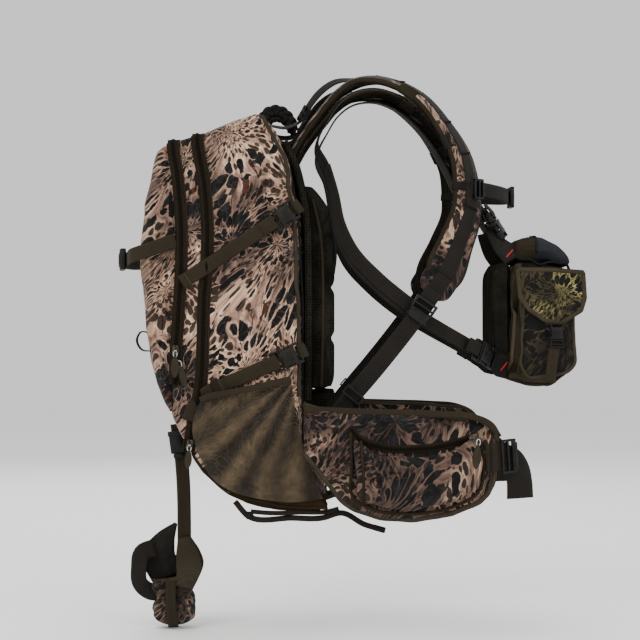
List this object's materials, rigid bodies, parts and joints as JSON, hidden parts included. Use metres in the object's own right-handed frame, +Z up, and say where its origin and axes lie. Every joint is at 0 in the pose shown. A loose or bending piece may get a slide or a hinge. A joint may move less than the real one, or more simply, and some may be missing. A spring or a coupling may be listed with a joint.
{
  "type": "hunting backpack",
  "caption": "Camouflage hunting day pack with zipped compartments, padded harness and hip belt, mesh side pockets, bow carrier and a clip-on chest pouch.",
  "frame": {"origin": "middle of the lumbar pad's flat contact face, where the pack rests on the wearer's back", "axes": "+X forward through the wearer, +Y to the wearer's left, +Z up"},
  "size_m": [0.6551, 0.38, 0.7942],
  "materials": {
    "camo_cloth": "brushed printed polyester",
    "green_camo": "brushed printed polyester",
    "olive_webbing": "woven webbing",
    "black_webbing": "woven webbing",
    "olive_mesh": "open mesh",
    "black_mesh": "spacer mesh over foam",
    "sheet_plastic": "extruded sheet",
    "stay_alloy": "mill finish",
    "zip_metal": "dark painted die cast",
    "puller_cord": "moulded grip",
    "olive_plastic": "moulded acetal",
    "black_plastic": "moulded acetal"
  },
  "bodies": {
    "pack": {"back_pads": "black_mesh", "bag_sockets": "olive_plastic", "bottom_lash": "olive_webbing", "bow_straps": "olive_webbing", "chest_back_panel": "black_mesh", "chest_pouch": "camo_cloth", "chest_pouch_lid": "camo_cloth", "chest_side_pockets": "camo_cloth", "chest_sockets": "black_plastic", "chest_webbing": "black_webbing", "compression_straps": "olive_webbing", "frame_sheet": "sheet_plastic", "frame_stays": "stay_alloy", "load_lifter_buckles": "black_plastic", "load_lifters": "black_webbing", "lumbar_pad": "black_mesh", "main_bag": "camo_cloth", "middle_bag": "camo_cloth", "outer_pocket": "camo_cloth", "shoulder_strap_left": "camo_cloth", "shoulder_strap_right": "camo_cloth", "shoulder_webbing": "black_webbing", "side_pocket_left": "olive_mesh", "side_pocket_right": "olive_mesh", "zip_tapes": "olive_webbing"},
    "grab_handle": {"grab_handle": "olive_webbing"},
    "belt_wing_right": {"belt_wing_right": "camo_cloth", "belt_pocket_right": "camo_cloth", "belt_webbing_right": "black_webbing", "belt_lock_right": "black_plastic"},
    "belt_zip_slider_right": {"belt_zip_slider_right": "zip_metal"},
    "belt_wing_left": {"belt_wing_left": "camo_cloth", "belt_pocket_left": "camo_cloth", "belt_webbing_left": "black_webbing", "belt_lock_left": "black_plastic"},
    "belt_zip_slider_left": {"belt_zip_slider_left": "zip_metal"},
    "main_zip_slider": {"main_zip_slider": "zip_metal"},
    "main_zip_puller": {"main_zip_puller": "puller_cord"},
    "front_zip_slider": {"front_zip_slider": "zip_metal"},
    "front_zip_puller": {"front_zip_puller": "puller_cord"},
    "upper_compression_plug_right": {"upper_compression_plug_right": "olive_plastic"},
    "upper_compression_plug_left": {"upper_compression_plug_left": "olive_plastic"},
    "lower_compression_plug_right": {"lower_compression_plug_right": "olive_plastic"},
    "lower_compression_plug_left": {"lower_compression_plug_left": "olive_plastic"},
    "shoulder_lock_right": {"shoulder_lock_right": "black_plastic"},
    "shoulder_lock_left": {"shoulder_lock_left": "black_plastic"},
    "sternum_strap": {"sternum_strap": "black_webbing", "sternum_fittings": "black_plastic"},
    "sternum_plug": {"sternum_plug": "black_plastic"},
    "upper_chest_plug_right": {"upper_chest_plug_right": "black_plastic"},
    "upper_chest_plug_left": {"upper_chest_plug_left": "black_plastic"},
    "lower_chest_plug_right": {"lower_chest_plug_right": "black_plastic"},
    "lower_chest_plug_left": {"lower_chest_plug_left": "black_plastic"},
    "chest_flap_right": {"chest_flap_right": "green_camo", "flap_buckle_right": "black_plastic"},
    "chest_flap_left": {"chest_flap_left": "green_camo", "flap_buckle_left": "black_plastic"},
    "bow_boot": {"bow_boot": "camo_cloth", "boot_buckle": "black_plastic"},
    "bow_strap_plug": {"bow_strap_plug": "olive_plastic"}
  },
  "joints": [
    {"name": "grab_handle_swing", "type": "hinge", "parent": "pack", "child": "grab_handle", "pos_m": [-0.098, 0, 0.467], "axis": [0, -1, 0], "range_deg": [-4, 75]},
    {"name": "belt_wing_right_fold", "type": "hinge", "parent": "pack", "child": "belt_wing_right", "pos_m": [-0.05, -0.158, 0], "axis": [0, 0, -1], "range_deg": [-4, 22]},
    {"name": "belt_zip_right", "type": "slide", "parent": "belt_wing_right", "child": "belt_zip_slider_right", "axis": [-0.9429, -0.1359, -0.3042], "range_m": [0, 0.03]},
    {"name": "belt_wing_left_fold", "type": "hinge", "parent": "pack", "child": "belt_wing_left", "pos_m": [-0.05, 0.158, 0], "axis": [0, 0, 1], "range_deg": [-4, 22]},
    {"name": "belt_zip_left", "type": "slide", "parent": "belt_wing_left", "child": "belt_zip_slider_left", "axis": [-0.9429, 0.1359, -0.3042], "range_m": [0, 0.03]},
    {"name": "main_zip_slide", "type": "slide", "parent": "pack", "child": "main_zip_slider", "axis": [0.1807, 0, 0.9835], "range_m": [0, 0.03]},
    {"name": "main_zip_pull", "type": "hinge", "parent": "main_zip_slider", "child": "main_zip_puller", "pos_m": [-0.2018, -0.1621, 0.004], "axis": [1, 0, 0], "range_deg": [-150, 0]},
    {"name": "front_zip_slide", "type": "slide", "parent": "pack", "child": "front_zip_slider", "axis": [0.0651, 0, 0.9979], "range_m": [0, 0.06]},
    {"name": "front_zip_pull", "type": "hinge", "parent": "front_zip_slider", "child": "front_zip_puller", "pos_m": [-0.2217, -0.1581, 0.134], "axis": [1, 0, 0], "range_deg": [-150, 0]},
    {"name": "upper_compression_right", "type": "slide", "parent": "pack", "child": "upper_compression_plug_right", "axis": [-0.8377, 0, -0.5461], "range_m": [0, 0.02]},
    {"name": "upper_compression_left", "type": "slide", "parent": "pack", "child": "upper_compression_plug_left", "axis": [-0.8377, 0, -0.5461], "range_m": [0, 0.02]},
    {"name": "lower_compression_right", "type": "slide", "parent": "pack", "child": "lower_compression_plug_right", "axis": [-0.9166, 0, -0.3998], "range_m": [0, 0.02]},
    {"name": "lower_compression_left", "type": "slide", "parent": "pack", "child": "lower_compression_plug_left", "axis": [-0.9166, 0, -0.3998], "range_m": [0, 0.02]},
    {"name": "shoulder_lock_right_tilt", "type": "hinge", "parent": "pack", "child": "shoulder_lock_right", "pos_m": [0.127, -0.162, 0.202], "axis": [-0.818, -0.0818, 0.5694], "range_deg": [0, 35]},
    {"name": "shoulder_lock_left_tilt", "type": "hinge", "parent": "pack", "child": "shoulder_lock_left", "pos_m": [0.127, 0.162, 0.202], "axis": [0.818, -0.0818, -0.5694], "range_deg": [0, 35]},
    {"name": "sternum_height", "type": "slide", "parent": "pack", "child": "sternum_strap", "axis": [0, 0, 1], "range_m": [-0.01, 0.02]},
    {"name": "sternum_release", "type": "slide", "parent": "sternum_strap", "child": "sternum_plug", "axis": [0, -1, 0], "range_m": [0, 0.02]},
    {"name": "upper_chest_right", "type": "slide", "parent": "pack", "child": "upper_chest_plug_right", "axis": [-0.5316, -0.0483, 0.8456], "range_m": [0, 0.018]},
    {"name": "upper_chest_left", "type": "slide", "parent": "pack", "child": "upper_chest_plug_left", "axis": [-0.5316, 0.0483, 0.8456], "range_m": [0, 0.018]},
    {"name": "lower_chest_right", "type": "slide", "parent": "pack", "child": "lower_chest_plug_right", "axis": [-0.711, -0.553, 0.4345], "range_m": [0, 0.018]},
    {"name": "lower_chest_left", "type": "slide", "parent": "pack", "child": "lower_chest_plug_left", "axis": [-0.711, 0.553, 0.4345], "range_m": [0, 0.018]},
    {"name": "chest_flap_right_lift", "type": "hinge", "parent": "pack", "child": "chest_flap_right", "pos_m": [0.3, -0.124, 0.2485], "axis": [-1, 0, 0], "range_deg": [0, 110]},
    {"name": "chest_flap_left_lift", "type": "hinge", "parent": "pack", "child": "chest_flap_left", "pos_m": [0.3, 0.124, 0.2485], "axis": [1, 0, 0], "range_deg": [0, 110]},
    {"name": "bow_boot_swing", "type": "hinge", "parent": "pack", "child": "bow_boot", "pos_m": [-0.231, 0, 0.024], "axis": [0, 1, 0], "range_deg": [0, 70]},
    {"name": "bow_strap_release", "type": "slide", "parent": "pack", "child": "bow_strap_plug", "axis": [-0.1375, 0.9901, -0.0275], "range_m": [0, 0.018]}
  ]
}
